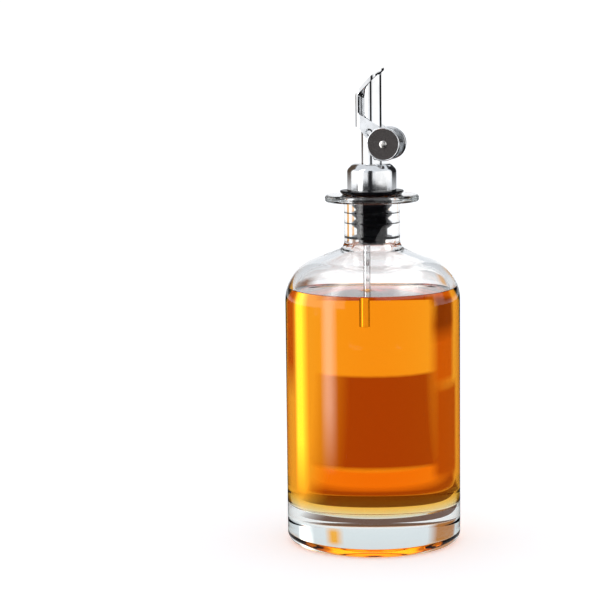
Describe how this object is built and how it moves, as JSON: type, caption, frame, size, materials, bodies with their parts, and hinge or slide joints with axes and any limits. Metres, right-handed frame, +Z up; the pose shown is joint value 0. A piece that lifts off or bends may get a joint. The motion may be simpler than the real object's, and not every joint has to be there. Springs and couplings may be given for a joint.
{
  "type": "oil dispenser bottle",
  "caption": "Round glass oil bottle with a thick base and a wide lip, closed by a rubber stopper that carries a slanted metal spout with a weighted hinged flap.",
  "frame": {"origin": "middle of the bottle's base, on the surface it stands on", "axes": "+Z up along the bottle's axis; +X towards the side the spout pours to; the flap turns about an axis along Y"},
  "size_m": [0.08, 0.08, 0.2176],
  "materials": {
    "clear_glass": "clear and polished",
    "oil": "clear amber liquid",
    "black_rubber": "satin",
    "polished_steel": "polished",
    "weight_steel": "dark, fine grained",
    "rivet_steel": "satin"
  },
  "bodies": {
    "bottle": {"glass_bottle": "clear_glass", "oil_fill": "oil"},
    "pourer": {"rubber_stopper": "black_rubber", "dome_cap": "polished_steel", "spout_tube": "polished_steel", "breather_tube": "polished_steel"},
    "flap": {"flap_lid": "polished_steel", "near_weight": "weight_steel", "far_weight": "weight_steel", "weight_rivet": "rivet_steel"}
  },
  "joints": [
    {"name": "pourer_lift", "type": "slide", "parent": "bottle", "child": "pourer", "axis": [0, 0, 1], "range_m": [0, 0.075]},
    {"name": "flap_hinge", "type": "hinge", "parent": "pourer", "child": "flap", "pos_m": [0, 0, 0.1886], "axis": [0, -1, 0], "range_deg": [0, 65]}
  ]
}
